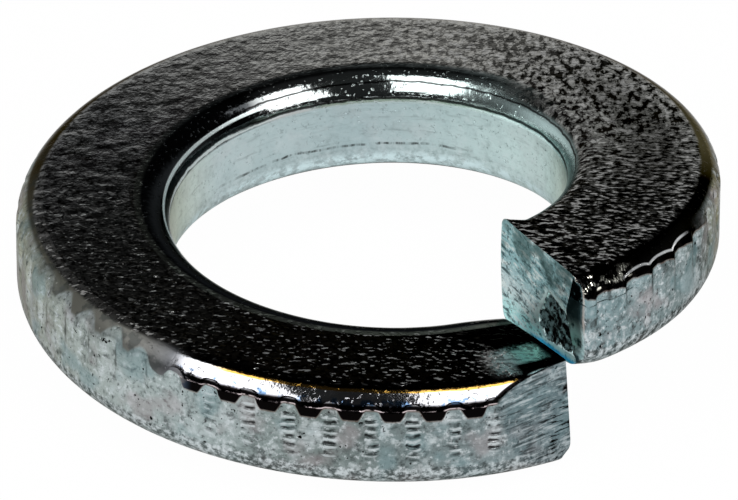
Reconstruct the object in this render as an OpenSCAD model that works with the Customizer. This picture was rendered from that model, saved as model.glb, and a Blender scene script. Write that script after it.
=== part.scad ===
// Spring lock washer: one turn of rolled wire with a nearly square, round-edged section,
// coiled left-handed, cut through once and set so that its two ends stand apart in height.
// Millimetres. The bore's axis is Z, and the part stands on z = 0 on its low end.

/* [Ring] */
// Diameter of the bore
bore_d = 10.2; // [6:0.1:20]
// Width of the section, from the bore to the outer wall
ring_w = 3.95; // [2.4:0.05:8]
// Thickness of the section along the axis
ring_t = 2.8; // [1.8:0.05:6]
// Radius of the two outer edges
outer_round = 0.72; // [0.1:0.02:0.85]
// Radius of the two edges at the bore
inner_round = 0.72; // [0.1:0.02:0.85]

/* [Coil] */
// Height by which the raised end stands above the low end
end_offset = 2.45; // [0.4:0.05:6]
// Azimuth of the raised end at the outer wall, in degrees
split_azimuth = -53.3; // [-180:0.1:180]
// Gap between the two ends at the outer wall
split_gap = 0.1; // [0.05:0.05:3]

/* [Cut ends] */
// Turn of the raised end's cut away from the radius, which opens the gap towards the bore
raised_skew = 6.5; // [0:0.5:15]
// Turn of the low end's cut away from the radius: below 0 its bore side reaches into the gap
low_skew = -3.5; // [-4:0.1:15]
// Lean of the raised end's cut, with its foot drawn back from the gap, in degrees
raised_lean = 1.5; // [0:0.5:12]
// Lean of the low end's cut, with its foot drawn back from the gap, in degrees
low_lean = 0; // [0:0.5:12]
// Radius of the two bore edges right at the raised end, which the shear squared
squared_round = 0.26; // [0.1:0.02:0.85]
// Length along the outer wall over which that squaring dies away
squared_l = 1.3; // [0.4:0.1:4]
// Rise of the underside's outer edge at the raised end, which the shear tilted
foot_rise = 0.1; // [0:0.01:0.3]
// Drop of the underside's bore edge at the raised end
foot_drop = 0.2; // [0:0.01:0.3]
// Length along the outer wall over which that tilt dies away
foot_l = 4.2; // [1:0.1:8]
// Drop of the top's bore edge at the low end, which the shear rolled down
roll_drop = 0.22; // [0:0.01:0.4]
// Length along the outer wall over which that roll dies away
roll_l = 2.2; // [0.5:0.1:5]
// Width across the cut face of the bevel on the raised end's outer corner, at its widest
bevel_w = 0.78; // [0.4:0.02:1.5]
// Height in the section at which that bevel is widest
bevel_at = 1.6; // [0.8:0.1:2]
// Narrowing of the bevel for each millimetre above and below that height
bevel_taper = 0.24; // [0:0.02:0.24]
// Length of the bevel along the outer wall
bevel_l = 0.1; // [0.06:0.02:0.6]
// Length of the flat that the cutter left on the outer wall at the low end
flat_l = 2.6; // [0.5:0.1:5]
// Set-back of that flat at the end, at the top of the section
flat_top = 0.62; // [0.1:0.02:1]
// Set-back of that flat at the end, at the underside of the section
flat_foot = 0.28; // [0:0.02:1]

/* [Roller marks] */
// Number of marks that one full turn of the outer wall would have
mark_count = 54; // [12:1:64]
// Azimuth of one of the marks, in degrees
mark_azimuth = -89.3; // [-180:0.1:180]
// Width of a mark at the wall
mark_w = 0.54; // [0.3:0.02:0.7]
// Width of a mark's floor
mark_floor_w = 0.26; // [0.1:0.02:0.28]
// Depth of a mark at the top of the wall
mark_depth = 0.09; // [0.02:0.01:0.2]
// Height above the section's underside at which a mark runs out
mark_foot = 0.9; // [0.86:0.02:1.2]

/* [Hidden] */

// Straight pieces in each rounded edge
round_steps = 4;
// What the swept section reaches into the bore, where the true cylinder trims it
bore_trim = 0.01;
// What the bore's cylinder stands past the part at each end
bore_past = 1;
// Degrees of the turn over which the skew and lean of a cut die away
cut_reach = 30;
bore_r = bore_d / 2;
outer_r = bore_r + ring_w;
bore_facets = 180;
// Degrees kept free of mark stations beyond the bevel and before the low end
station_clear = 0.3;

// Degrees of the outer wall that a length along it spans
function wall_deg(length) = length / outer_r * 180 / PI;
function clamp(value) = max(0, min(1, value));
// Rises softly from 0 to 1
function ease(value) = let (v = clamp(value)) v * v * (3 - 2 * v);

raised_at = split_azimuth;
low_at = split_azimuth + 360 - wall_deg(split_gap);
turn = low_at - raised_at;

// The section as [radius, height] points, anticlockwise from the underside's outer edge
function arc_points(centre, size, from) = [
    for (i = [0:round_steps])
        let (a = from + 90 * i / round_steps)
        [centre[0] + size[0] * cos(a), centre[1] + size[1] * sin(a)]
];
outer_size = [outer_round, outer_round];
function section(inner) =
    let (size = [inner + bore_trim, inner])
    concat(
        arc_points([outer_r - outer_round, outer_round], outer_size, -90),
        [[outer_r, mark_foot]],
        arc_points([outer_r - outer_round, ring_t - outer_round], outer_size, 0),
        arc_points([bore_r + inner, ring_t - inner], size, 90),
        arc_points([bore_r + inner, inner], size, 180)
    );

// Radius of the bore edges at a station: squared at the raised end, whole beyond squared_l
function bore_round(station) =
    inner_round
    + (squared_round - inner_round) * ease(1 - (station - raised_at) / wall_deg(squared_l));

// Height of the underside at an azimuth: it falls evenly from the raised end to the low end
function underside(azimuth) = end_offset * (low_at - azimuth) / turn;

// Degrees from the outer wall's azimuth to a point of a cut that is turned away from the radius
// by skew and leans by lean: the cut is a plane, so it keeps one distance from the axis
function cut_turn(p, skew, lean) =
    asin(outer_r * sin(skew) / p[0]) - skew + (ring_t - p[1]) * tan(lean) / p[0] * 180 / PI;

// Azimuth of a section point at a station: near each end the stations turn into the cut's plane
function point_azimuth(station, p) =
    station
    + clamp(1 - (station - raised_at) / cut_reach) * cut_turn(p, raised_skew, raised_lean)
    - clamp(1 - (low_at - station) / cut_reach) * cut_turn(p, low_skew, low_lean);

// Distance along the outer wall from the middle of the nearest mark
mark_pitch = 360 / mark_count;
function from_mark(azimuth) =
    let (steps = (azimuth - mark_azimuth) / mark_pitch)
    abs(steps - round(steps)) * mark_pitch * PI / 180 * outer_r;

// Radius that a roller mark leaves: a trapezoid across, deepest at the top, gone at its foot
function mark_radius(azimuth, height) =
    let (across = clamp((mark_w / 2 - from_mark(azimuth)) / (mark_w - mark_floor_w) * 2),
         along = max(0, (height - mark_foot) / (ring_t - outer_round - mark_foot)))
    outer_r - mark_depth * across * along;

// Radius that the flat at the low end leaves: a plane that meets the wall flat_l from the end
flat_span = wall_deg(flat_l);
flat_turn = atan(((outer_r - flat_top) / outer_r - cos(flat_span)) / sin(flat_span));
function flat_radius(azimuth, height) =
    let (set_back = flat_foot + (flat_top - flat_foot) * height / ring_t)
    low_at - azimuth > flat_span ? outer_r
        : (outer_r - set_back) * cos(flat_turn) / cos(low_at - azimuth - flat_turn);

// Radius that the raised end's bevel leaves, from the cut face to the whole wall
function bevel_radius(station, height) =
    let (width = max(0, bevel_w - bevel_taper * abs(height - bevel_at)))
    outer_r - width * clamp(1 - (station - raised_at) / wall_deg(bevel_l));

// A section point drawn in to whatever cuts deepest into the outer wall at a station
function dressed_point(station, p) = [
    min(p[0], mark_radius(station, p[1]), flat_radius(station, p[1]), bevel_radius(station, p[1])),
    p[1]
];

// Height that the shear gave a section point: it tilted the underside at the raised end and
// rolled the top down beside the low end's cut, most at the bore
function sheared(station, p) =
    let (inward = clamp((outer_r - p[0]) / ring_w),
         upper = 2 * p[1] / ring_t - 1,
         tilt = clamp(1 - (station - raised_at) / wall_deg(foot_l)) * clamp(-upper),
         roll = pow(clamp(1 - (low_at - station) / wall_deg(roll_l)) * inward, 2) * clamp(upper))
    (foot_rise - (foot_rise + foot_drop) * inward) * tilt - roll_drop * roll;

// The place in space of a section point at a station
function coil_point(station, p) =
    let (q = dressed_point(station, p), a = point_azimuth(station, q))
    [q[0] * cos(a), q[0] * sin(a), underside(a) + q[1] + sheared(station, p)];

// Stations along the wire: the two ends, the bevel's far side, and four across each mark
station_margin = wall_deg(bevel_l) + station_clear;
mark_offsets = [-mark_w / 2, -mark_floor_w / 2, mark_floor_w / 2, mark_w / 2];
first_mark = ceil((raised_at - mark_azimuth) / mark_pitch) - 1;
mark_stations = [
    for (k = [0:mark_count + 1], offset = mark_offsets)
        mark_azimuth + (first_mark + k) * mark_pitch + wall_deg(offset)
];
stations = concat(
    [raised_at, raised_at + wall_deg(bevel_l)],
    [for (a = mark_stations) if (a > raised_at + station_margin && a < low_at - station_margin) a],
    [low_at]
);

// The points of a closed sweep, moved so that the lowest one stands on z = 0
coil_points = [
    for (station = stations, p = section(bore_round(station))) coil_point(station, p)
];
lowest = min([for (p = coil_points) p[2]]);
around = len(section(inner_round));
last_ring = (len(stations) - 1) * around;
side_faces = [
    for (i = [0:len(stations) - 2], j = [0:around - 1])
        let (next = (j + 1) % around, a = i * around, b = a + around)
        each [[a + j, b + next, b + j], [a + j, a + next, b + next]]
];
raised_face = [for (j = [around - 1:-1:0]) j];
low_face = [for (j = [0:around - 1]) last_ring + j];

// The coiled wire, with its two cut ends and its marks
module coil() {
    translate([0, 0, -lowest])
        polyhedron(coil_points, concat(side_faces, [raised_face, low_face]));
}

// The washer: the coil with its bore trimmed to a true cylinder
module lock_washer() {
    color("#b7c2c6")
        difference() {
            coil();
            translate([0, 0, -bore_past])
                cylinder(h = end_offset + ring_t + 2 * bore_past, r = bore_r, $fn = bore_facets);
        }
}

lock_washer();
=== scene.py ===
"""Spring lock washer: the looks of one coiled, split ring of zinc-plated spring steel.

The washer is swept from a rounded section along one left-handed turn, as numpy grids in
millimetres, and put into the mesh in metres. Azimuths are in degrees about the bore's axis,
from +X towards +Y, and run from the raised end round the back to the low end.
"""
import logging
import math
from dataclasses import dataclass, field
from enum import Enum, IntEnum
from functools import cached_property
from typing import Any, Sequence

import bpy
import numpy as np
from mathutils import Matrix, Vector


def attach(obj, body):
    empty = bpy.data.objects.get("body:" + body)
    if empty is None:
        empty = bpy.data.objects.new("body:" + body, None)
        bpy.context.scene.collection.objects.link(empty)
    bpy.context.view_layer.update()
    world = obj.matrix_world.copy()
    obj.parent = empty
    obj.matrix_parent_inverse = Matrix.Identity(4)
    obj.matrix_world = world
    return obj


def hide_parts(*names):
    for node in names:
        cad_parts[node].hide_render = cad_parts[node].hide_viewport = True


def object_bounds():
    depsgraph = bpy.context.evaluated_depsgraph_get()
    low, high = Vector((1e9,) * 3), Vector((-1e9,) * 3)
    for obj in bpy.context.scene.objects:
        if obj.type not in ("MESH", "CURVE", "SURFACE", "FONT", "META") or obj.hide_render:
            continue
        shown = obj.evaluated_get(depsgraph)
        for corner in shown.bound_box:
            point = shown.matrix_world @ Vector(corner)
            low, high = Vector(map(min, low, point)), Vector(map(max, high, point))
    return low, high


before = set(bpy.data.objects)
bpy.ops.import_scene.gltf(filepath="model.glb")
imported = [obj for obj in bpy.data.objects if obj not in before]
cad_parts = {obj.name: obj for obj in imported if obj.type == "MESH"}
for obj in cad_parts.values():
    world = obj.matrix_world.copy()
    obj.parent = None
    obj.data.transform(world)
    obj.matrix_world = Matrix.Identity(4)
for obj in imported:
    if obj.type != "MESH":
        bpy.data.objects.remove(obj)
CAD_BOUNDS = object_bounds()

log = logging.getLogger("lock_washer")

MM = 0.001
NODE = "lock_washer"

Colour = tuple[float, float, float]


def smooth_step(value: np.ndarray) -> np.ndarray:
    """Return 3v^2 - 2v^3 of the value held between 0 and 1: an even rise with soft ends."""
    held = np.clip(value, 0.0, 1.0)
    return held * held * (3.0 - 2.0 * held)


def fade(distance: np.ndarray, reach: float) -> np.ndarray:
    """Return a share that falls evenly from 1 at no distance to 0 at the reach."""
    return np.clip(1.0 - distance / reach, 0.0, 1.0)


def wave_noise(points: np.ndarray, size: float, seed: int, waves: int = 14) -> np.ndarray:
    """Return a smooth noise between about -1 and 1.

    The sum of plane cosine waves with random directions, phases and lengths near size.

    Args:
        points: Array whose last axis holds the coordinates, in millimetres.
        size: Mean wavelength, in millimetres.
        seed: Seed of the random draws.
        waves: Number of waves that are summed.

    Returns:
        Array of the points' shape without its last axis.
    """
    rng = np.random.default_rng(seed)
    directions = rng.normal(size=(waves, points.shape[-1]))
    directions /= np.linalg.norm(directions, axis=1, keepdims=True)
    rates = 2.0 * np.pi / (size * rng.uniform(0.6, 1.6, waves))
    phases = rng.uniform(0.0, 2.0 * np.pi, waves)
    angles = points @ (directions * rates[:, None]).T + phases
    return np.cos(angles).sum(axis=-1) / math.sqrt(waves)


class Seed(IntEnum):
    """Seeds of the random draws."""

    RIPPLE = 21
    FINE_RIPPLE = 22
    TORN = 23
    FINE_TORN = 24
    RUNG_PHASE = 31
    RUNG_BREAKS = 32


class Zone(Enum):
    """The parts of the section's outline, named after what they are on the washer."""

    FOOT_EDGE = "foot_edge"
    OUTER_WALL = "outer_wall"
    TOP_EDGE = "top_edge"
    TOP_FACE = "top_face"
    BORE_TOP_EDGE = "bore_top_edge"
    BORE_WALL = "bore_wall"
    BORE_FOOT_EDGE = "bore_foot_edge"
    UNDERSIDE = "underside"


@dataclass(frozen=True)
class WireSection:
    """The rolled wire's section, in millimetres: a rectangle with rounded edges."""

    bore_radius: float = 5.1
    width: float = 3.95
    thickness: float = 2.8
    outer_round: float = 0.72
    inner_round: float = 0.72

    @property
    def outer_radius(self) -> float:
        """Radius of the outer wall."""
        return self.bore_radius + self.width

    def inward(self, radius: np.ndarray) -> np.ndarray:
        """Share of the way from the outer wall to the bore."""
        return np.clip((self.outer_radius - radius) / self.width, 0.0, 1.0)

    def outline(self, inner_round: float) -> tuple[np.ndarray, list[Zone], np.ndarray]:
        """Work out the closed outline, anticlockwise from the underside's outer edge.

        Each edge is a quarter circle, centre plus radius times cosine and sine of an angle
        that grows evenly. Each face is a straight run of even steps.

        Args:
            inner_round: Radius of the two edges at the bore.

        Returns:
            The points as rows of radius and height, each point's zone, and each point's rise,
            which grows from 0 to 1 from the wall to the face on the two top edges.
        """
        out, low = self.outer_radius - self.outer_round, self.outer_round
        inn, lift = self.bore_radius + inner_round, inner_round
        top = self.thickness
        runs = (
            (Zone.FOOT_EDGE, (out, low), self.outer_round, -90.0, 12),
            (Zone.OUTER_WALL, (self.outer_radius, low), (self.outer_radius, top - low), 0.0, 40),
            (Zone.TOP_EDGE, (out, top - low), self.outer_round, 0.0, 20),
            (Zone.TOP_FACE, (out, top), (inn, top), 0.0, 9),
            (Zone.BORE_TOP_EDGE, (inn, top - lift), inner_round, 90.0, 16),
            (Zone.BORE_WALL, (self.bore_radius, top - lift), (self.bore_radius, lift), 0.0, 8),
            (Zone.BORE_FOOT_EDGE, (inn, lift), inner_round, 180.0, 8),
            (Zone.UNDERSIDE, (inn, 0.0), (out, 0.0), 0.0, 5),
        )
        points, names, rises = [], [], []
        for zone, start, end, from_angle, steps in runs:
            share = np.arange(steps) / steps
            if isinstance(end, tuple):
                rows = np.outer(1.0 - share, start) + np.outer(share, end)
            else:
                angle = np.radians(from_angle + 90.0 * share)
                rows = np.array(start) + end * np.stack([np.cos(angle), np.sin(angle)], axis=1)
            points.append(rows)
            names += [zone] * steps
            rises.append(share if zone is Zone.TOP_EDGE else 1.0 - share)
        return np.concatenate(points), names, np.concatenate(rises)


@dataclass(frozen=True)
class Coil:
    """The one left-handed turn, in millimetres and degrees."""

    end_offset: float = 2.45
    split_azimuth: float = -53.3
    split_gap: float = 0.1
    stations: int = 705
    close_stations: tuple[float, ...] = (0.0, 0.06, 0.13, 0.21, 0.3, 0.4)

    def ends(self, outer_radius: float) -> tuple[float, float]:
        """Return the azimuths of the raised end and the low end at the outer wall."""
        gap = math.degrees(self.split_gap / outer_radius)
        return self.split_azimuth, self.split_azimuth + 360.0 - gap


@dataclass(frozen=True)
class CutEnd:
    """One cut end, a plane that is turned from the radius by skew and leans by lean."""

    skew: float
    lean: float
    reach: float = 30.0

    def turn(self, outline: np.ndarray, section: WireSection) -> np.ndarray:
        """Degrees from the outer wall's azimuth to each section point of the cut.

        A plane keeps one distance from the axis, the outer radius times the sine of the skew,
        so a point at radius r lies at the arcsine of that distance over r, less the skew. The
        lean adds the drop from the top times its tangent, over r.

        Args:
            outline: Points as rows of radius and height.
            section: The wire's section.

        Returns:
            The turn of each point, in degrees.
        """
        radius, height = outline[..., 0], outline[..., 1]
        offset = section.outer_radius * math.sin(math.radians(self.skew))
        drawn = (section.thickness - height) * math.tan(math.radians(self.lean)) / radius
        return np.degrees(np.arcsin(offset / radius) + drawn) - self.skew


@dataclass(frozen=True)
class Bevel:
    """The narrow bevel on the raised end's outer corner, in millimetres.

    Its width falls by the taper for each millimetre above and below its widest place.
    """

    width: float = 0.88
    widest_at: float = 1.6
    taper: float = 0.32
    length: float = 0.12


@dataclass(frozen=True)
class CutterFlat:
    """The flat that the cutter pressed into the outer wall at the low end, in millimetres."""

    length: float = 2.6
    top: float = 0.62
    foot: float = 0.28


@dataclass(frozen=True)
class ShearMarks:
    """What the shear left at the ends beside the cuts themselves.

    Sizes are in millimetres. The corner's and the bulge's shares, and where the burr begins and
    is full, are shares of the section's width.
    """

    squared_round: float = 0.26
    squared_reach: float = 1.3
    roll_drop: float = 0.22
    roll_reach: float = 2.2
    tilt_rise: float = 0.10
    tilt_drop: float = 0.20
    tilt_reach: float = 4.2
    corner_lift: float = 0.30
    corner_reach: float = 0.9
    corner_share: float = 0.35
    bulge: float = 0.09
    bulge_reach: float = 0.9
    bulge_share: float = 0.2
    foot_draw: float = 0.40
    foot_height: float = 0.6
    foot_reach: float = 0.8
    burr_height: float = 0.05
    burr_reach: float = 0.3
    burr_from: float = 0.86
    burr_full: float = 0.98
    ripple_relief: float = 0.02
    torn_relief: float = 0.07
    torn_border: float = 0.6
    torn_wall: float = 0.12
    torn_lines: tuple[tuple[tuple[float, float], tuple[float, float]], ...] = (
        ((7.35, 1.74), (-0.27, -0.96)),
        ((6.78, 0.68), (0.88, -0.47)),
        ((6.78, 0.68), (0.72, 0.69)),
        ((7.16, 0.29), (-0.10, 0.99)),
    )


@dataclass(frozen=True)
class RollerMarks:
    """The upright marks round the outer wall, in millimetres and degrees."""

    count: int = 54
    azimuth: float = -89.3
    width: float = 0.54
    floor_width: float = 0.26
    depth: float = 0.09
    foot: float = 0.9
    rung_pitch: float = 0.21
    rung_depth: float = 0.035
    rung_sag: float = 0.06
    rung_foot: float = 0.65
    rung_fade: float = 0.5
    rungs_from: float = 230.0
    rungs_full: float = 254.0
    arc_azimuth: float = -37.6


@dataclass(frozen=True)
class SweptSide:
    """The swept side, with a row per station and a column per point of the section's outline.

    Attributes:
        azimuth: Azimuth of the station, in degrees.
        points: Radius and height in the section, in millimetres.
        whole: Radius before anything was cut away.
        limits: Radii that the marks, the flat and the bevel leave, by name.
        places: Places in space, in millimetres, before the lowest is set on z = 0.
        zones: Zone of each outline point.
        rise: Rise of each outline point.
    """

    azimuth: np.ndarray
    points: np.ndarray
    whole: np.ndarray
    limits: dict[str, np.ndarray]
    places: np.ndarray
    zones: list[Zone]
    rise: np.ndarray
    full_depth: float = 0.03

    def cut_away(self, name: str) -> np.ndarray:
        """Share of each point that a limit cut away, whole from the full depth on."""
        return smooth_step((self.whole - self.limits[name]) / self.full_depth)

    def weight(self, *zones: Zone) -> np.ndarray:
        """Return 1 for the outline points that lie in one of the zones, and 0 for the others."""
        return np.array([float(zone in zones) for zone in self.zones])[None]


@dataclass(frozen=True)
class CutFace:
    """One cut face, with a row per ring and the torn patch's share, a half at its border."""

    azimuth: float
    places: np.ndarray
    points: np.ndarray
    torn: np.ndarray


@dataclass
class LockWasher:
    """The washer: its sizes, its mesh and its finish."""

    section: WireSection = field(default_factory=WireSection)
    coil: Coil = field(default_factory=Coil)
    raised: CutEnd = field(default_factory=lambda: CutEnd(skew=6.5, lean=1.5))
    low: CutEnd = field(default_factory=lambda: CutEnd(skew=-3.5, lean=0.0))
    bevel: Bevel = field(default_factory=Bevel)
    flat: CutterFlat = field(default_factory=CutterFlat)
    shear: ShearMarks = field(default_factory=ShearMarks)
    marks: RollerMarks = field(default_factory=RollerMarks)
    cap_rings: int = 32
    first_ring: float = 0.993
    second_ring: float = 0.97
    ring_relief: float = 0.12

    @property
    def ends(self) -> tuple[float, float]:
        """Azimuths of the raised end and the low end at the outer wall."""
        return self.coil.ends(self.section.outer_radius)

    def wall_degrees(self, length: float) -> float:
        """Degrees of the outer wall that a length along it spans."""
        return math.degrees(length / self.section.outer_radius)

    def wall_length(self, degrees: np.ndarray) -> np.ndarray:
        """Length along the outer wall that an angle spans."""
        return np.radians(degrees) * self.section.outer_radius

    def mark_steps(self, azimuth: np.ndarray) -> np.ndarray:
        """Number of mark pitches from the first mark, with its fraction."""
        return (azimuth - self.marks.azimuth) * self.marks.count / 360.0

    def from_mark(self, azimuth: np.ndarray) -> np.ndarray:
        """Distance along the outer wall from the middle of the nearest mark."""
        steps = self.mark_steps(azimuth)
        return self.wall_length((steps - np.round(steps)) * 360.0 / self.marks.count)

    def mark_share(self, azimuth: np.ndarray) -> np.ndarray:
        """Share of a mark's full depth at each azimuth: flat-floored, with soft flanks."""
        flank = (self.marks.width - self.marks.floor_width) / 2.0
        return smooth_step((self.marks.width / 2.0 - np.abs(self.from_mark(azimuth))) / flank)

    def rung_wave(self, azimuth: np.ndarray, height: np.ndarray) -> np.ndarray:
        """Work out the rungs within the marks, where the roller's teeth skidded.

        A cosine of the height, whose crests sag in the middle of the mark. Its shift and its
        strength go from mark to mark, noise breaks it up, and it is strongest at the front.

        Args:
            azimuth: Station azimuths, one row per station.
            height: Heights in the section, one column per outline point.

        Returns:
            The rungs, between about -1 and 1.
        """
        marks = self.marks
        wall_top = self.section.thickness - self.section.outer_round
        number = np.round(self.mark_steps(azimuth))
        across = self.from_mark(azimuth)
        sagging = height - marks.rung_sag * (across * 2.0 / marks.width) ** 2
        phase = 2.4 * np.sin(number * 1.7) + 5.0 * np.sin(number * 0.37)
        spot = np.stack([self.wall_length(azimuth), height], axis=-1)
        phase = phase + wave_noise(spot, 0.8, Seed.RUNG_PHASE)
        wave = np.cos(2.0 * np.pi * sagging / marks.rung_pitch + phase)
        broken = np.clip(0.9 + 0.4 * wave_noise(spot, 0.35, Seed.RUNG_BREAKS), 0.0, 1.3)
        band = smooth_step((height - marks.rung_foot) / marks.rung_fade)
        band = band * smooth_step((wall_top + 0.12 - height) / 0.15)
        front = smooth_step((azimuth - marks.rungs_from) / (marks.rungs_full - marks.rungs_from))
        strength = (0.85 + 0.15 * np.sin(number * 2.9)) * self.mark_share(azimuth)
        return wave * broken * band * front * strength

    def wall_limits(self, azimuth: np.ndarray, height: np.ndarray) -> dict[str, np.ndarray]:
        """Work out how far out the marks, the cutter's flat and the bevel let the wall reach.

        The roller marks leave the outer radius less a depth that grows from the marks' foot
        upwards, with rungs as a cosine of the height. The cutter's flat is a plane, so its
        radius is a constant over the cosine of the azimuth from its normal. The bevel draws in
        evenly towards the raised end, by a width that narrows above and below its widest place.

        Args:
            azimuth: Station azimuths, one row per station.
            height: Heights in the section, one column per outline point.

        Returns:
            The three radii under "mark", "flat" and "bevel".
        """
        outer = self.section.outer_radius
        raised_at, low_at = self.ends
        wall_top = self.section.thickness - self.section.outer_round
        share = self.mark_share(azimuth)
        along = np.maximum(0.0, (height - self.marks.foot) / (wall_top - self.marks.foot))
        rungs = np.maximum(self.rung_wave(azimuth, height), 0.0)
        cut = self.marks.depth * share * along + self.marks.rung_depth * rungs
        span = math.radians(self.wall_degrees(self.flat.length))
        turn = math.atan(((outer - self.flat.top) / outer - math.cos(span)) / math.sin(span))
        away = np.radians(low_at - azimuth)
        set_back = self.flat.foot + (self.flat.top - self.flat.foot) * height / self.section.thickness
        plane = (outer - set_back) * math.cos(turn) / np.cos(np.minimum(away, span) - turn)
        corner = fade(away * outer, self.shear.foot_reach) * fade(height, self.shear.foot_height)
        plane = plane - self.shear.foot_draw * corner**2
        drawn = fade(azimuth - raised_at, self.wall_degrees(self.bevel.length))
        bevel_width = self.bevel.width - self.bevel.taper * np.abs(height - self.bevel.widest_at)
        return {
            "mark": outer - cut,
            "flat": np.where(away > span, outer, plane),
            "bevel": outer - bevel_width * drawn,
        }

    def ends_dressed(self, azimuth: np.ndarray, points: np.ndarray) -> np.ndarray:
        """Lower or raise what lies beside the cuts.

        The shear rolled the low end's top down, as the square of the nearness to the cut times
        the nearness to the bore. It tilted the raised end's underside, up outside and down at
        the bore, pressed its outer foot corner up and left a small burr on its inner top corner.

        Args:
            azimuth: Station azimuths, one row per station.
            points: Rows of radius and height for each station.

        Returns:
            The heights.
        """
        section, shear = self.section, self.shear
        raised_at, low_at = self.ends
        height, inward = points[..., 1], section.inward(points[..., 0])
        upper = height / section.thickness * 2.0 - 1.0
        above, below = np.clip(upper, 0.0, 1.0), np.clip(-upper, 0.0, 1.0)
        roll = fade(self.wall_length(low_at - azimuth), shear.roll_reach) * inward
        back = self.wall_length(azimuth - raised_at)
        tilt = shear.tilt_rise - (shear.tilt_rise + shear.tilt_drop) * inward
        corner = fade(back, shear.corner_reach) * fade(inward, shear.corner_share)
        inner = np.clip((inward - shear.burr_from) / (shear.burr_full - shear.burr_from), 0.0, 1.0)
        burr = shear.burr_height * fade(back, shear.burr_reach) * inner
        foot = fade(back, shear.tilt_reach) * tilt + shear.corner_lift * corner**2
        return height + (burr - shear.roll_drop * roll**2) * above + foot * below

    def bore_bulge(self, azimuth: np.ndarray, points: np.ndarray) -> np.ndarray:
        """How far the shear pushed the raised end's wall out into the bore, as a parabola.

        Args:
            azimuth: Station azimuths, one row per station.
            points: Rows of radius and height for each station.

        Returns:
            The bulge of each point, in millimetres.
        """
        section, shear = self.section, self.shear
        near = fade(self.wall_length(azimuth - self.coil.split_azimuth), shear.bulge_reach) ** 2
        middle = section.thickness / 2.0
        arch = np.clip(1.0 - ((points[..., 1] - middle) / middle) ** 2, 0.0, 1.0)
        inner = fade(1.0 - section.inward(points[..., 0]), shear.bulge_share)
        return shear.bulge * near * arch * inner

    def place(self, azimuth: np.ndarray, points: np.ndarray) -> np.ndarray:
        """Place section points in space.

        A point turns with its station, plus the turn of the cuts, which dies away over their
        reach. Its place is radius times cosine and sine of that azimuth, and its height is the
        section height plus the underside's, which falls evenly along the turn.

        Args:
            azimuth: Station azimuths, one row per station.
            points: Rows of radius and height for each station.

        Returns:
            The places, in millimetres, before the lowest is set on z = 0.
        """
        raised_at, low_at = self.ends
        raised = fade(azimuth - raised_at, self.raised.reach) * self.raised.turn(points, self.section)
        low = fade(low_at - azimuth, self.low.reach) * self.low.turn(points, self.section)
        angle = azimuth + raised - low
        underside = self.coil.end_offset * (low_at - angle) / (low_at - raised_at)
        radians = np.radians(angle)
        return np.stack(
            [
                points[..., 0] * np.cos(radians),
                points[..., 0] * np.sin(radians),
                underside + points[..., 1],
            ],
            axis=-1,
        )

    def station_azimuths(self) -> np.ndarray:
        """Even azimuths along the turn, rising, with more of them close to the two cuts."""
        raised_at, low_at = self.ends
        near = np.array(self.coil.close_stations) * self.wall_degrees(1.0)
        inner = np.linspace(raised_at + near[-1], low_at - near[-1], self.coil.stations)
        return np.concatenate([raised_at + near[:-1], inner, low_at - near[:-1][::-1]])

    def torn_depth(self, points: np.ndarray) -> np.ndarray:
        """How far inside the torn patch section points of the raised end's cut face lie.

        The patch is bounded by straight lines, each a point and a direction that points into
        the patch. A point lies inside by the least of its distances to the lines.

        Args:
            points: Points as rows of radius and height.

        Returns:
            The depth in millimetres, negative outside.
        """
        lines = self.shear.torn_lines
        away = [(points - np.array(corner)) @ np.array(inward) for corner, inward in lines]
        return np.minimum.reduce(away)

    def cap(self, station: float, rim: np.ndarray, is_raised: bool) -> CutFace:
        """Work out one cut face as rings that shrink to the section's middle.

        Each ring is the middle plus a share of the way to the rim, and the first two are close
        to the rim. The face lies on the cut's plane, and its relief draws points back into the
        wire: low ripples all over, and on the raised end a torn, rough patch.

        Args:
            station: Azimuth of the cut at the outer wall.
            rim: The rim's points as rows of radius and height.
            is_raised: Whether this is the raised end.

        Returns:
            The cut face.
        """
        middle = rim.mean(axis=0)
        inner = np.linspace(self.second_ring, 0.0, self.cap_rings)[:-1]
        share = np.concatenate([[self.first_ring], inner])
        points = middle + share[:, None, None] * (rim - middle)[None]
        inside = self.torn_depth(points) if is_raised else np.full(points.shape[:2], -1.0)
        torn = np.clip(0.5 + inside / self.shear.torn_border, 0.0, 1.0)
        ripple = 0.5 + 0.25 * wave_noise(points, 0.5, Seed.RIPPLE)
        ripple = np.clip(ripple + 0.12 * wave_noise(points, 0.16, Seed.FINE_RIPPLE), 0.0, 1.0)
        rough = 0.55 + 0.3 * wave_noise(points, 0.4, Seed.TORN)
        rough = np.clip(rough + 0.2 * wave_noise(points, 0.14, Seed.FINE_TORN), 0.0, 1.5)
        within = smooth_step((1.0 - share)[:, None] / self.ring_relief)
        pits = self.shear.torn_relief * smooth_step(inside / self.shear.torn_wall) * rough
        depth = within * (self.shear.ripple_relief * ripple + pits)
        turn = depth / points[..., 0] * (1.0 if is_raised else -1.0)
        return CutFace(station, self.place_cut(station, points, turn), points, torn)

    def place_cut(self, station: float, points: np.ndarray, turn: np.ndarray) -> np.ndarray:
        """Place points of a cut face, each turned from the cut's own plane by its relief.

        Args:
            station: Azimuth of the cut at the outer wall.
            points: Points as rows of radius and height.
            turn: Each point's turn about the bore's axis, in radians.

        Returns:
            The places, in millimetres.
        """
        flat = self.place(np.full(points.shape[:2], station), points)
        cos, sin = np.cos(turn), np.sin(turn)
        return np.stack(
            [
                flat[..., 0] * cos - flat[..., 1] * sin,
                flat[..., 0] * sin + flat[..., 1] * cos,
                flat[..., 2],
            ],
            axis=-1,
        )

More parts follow.
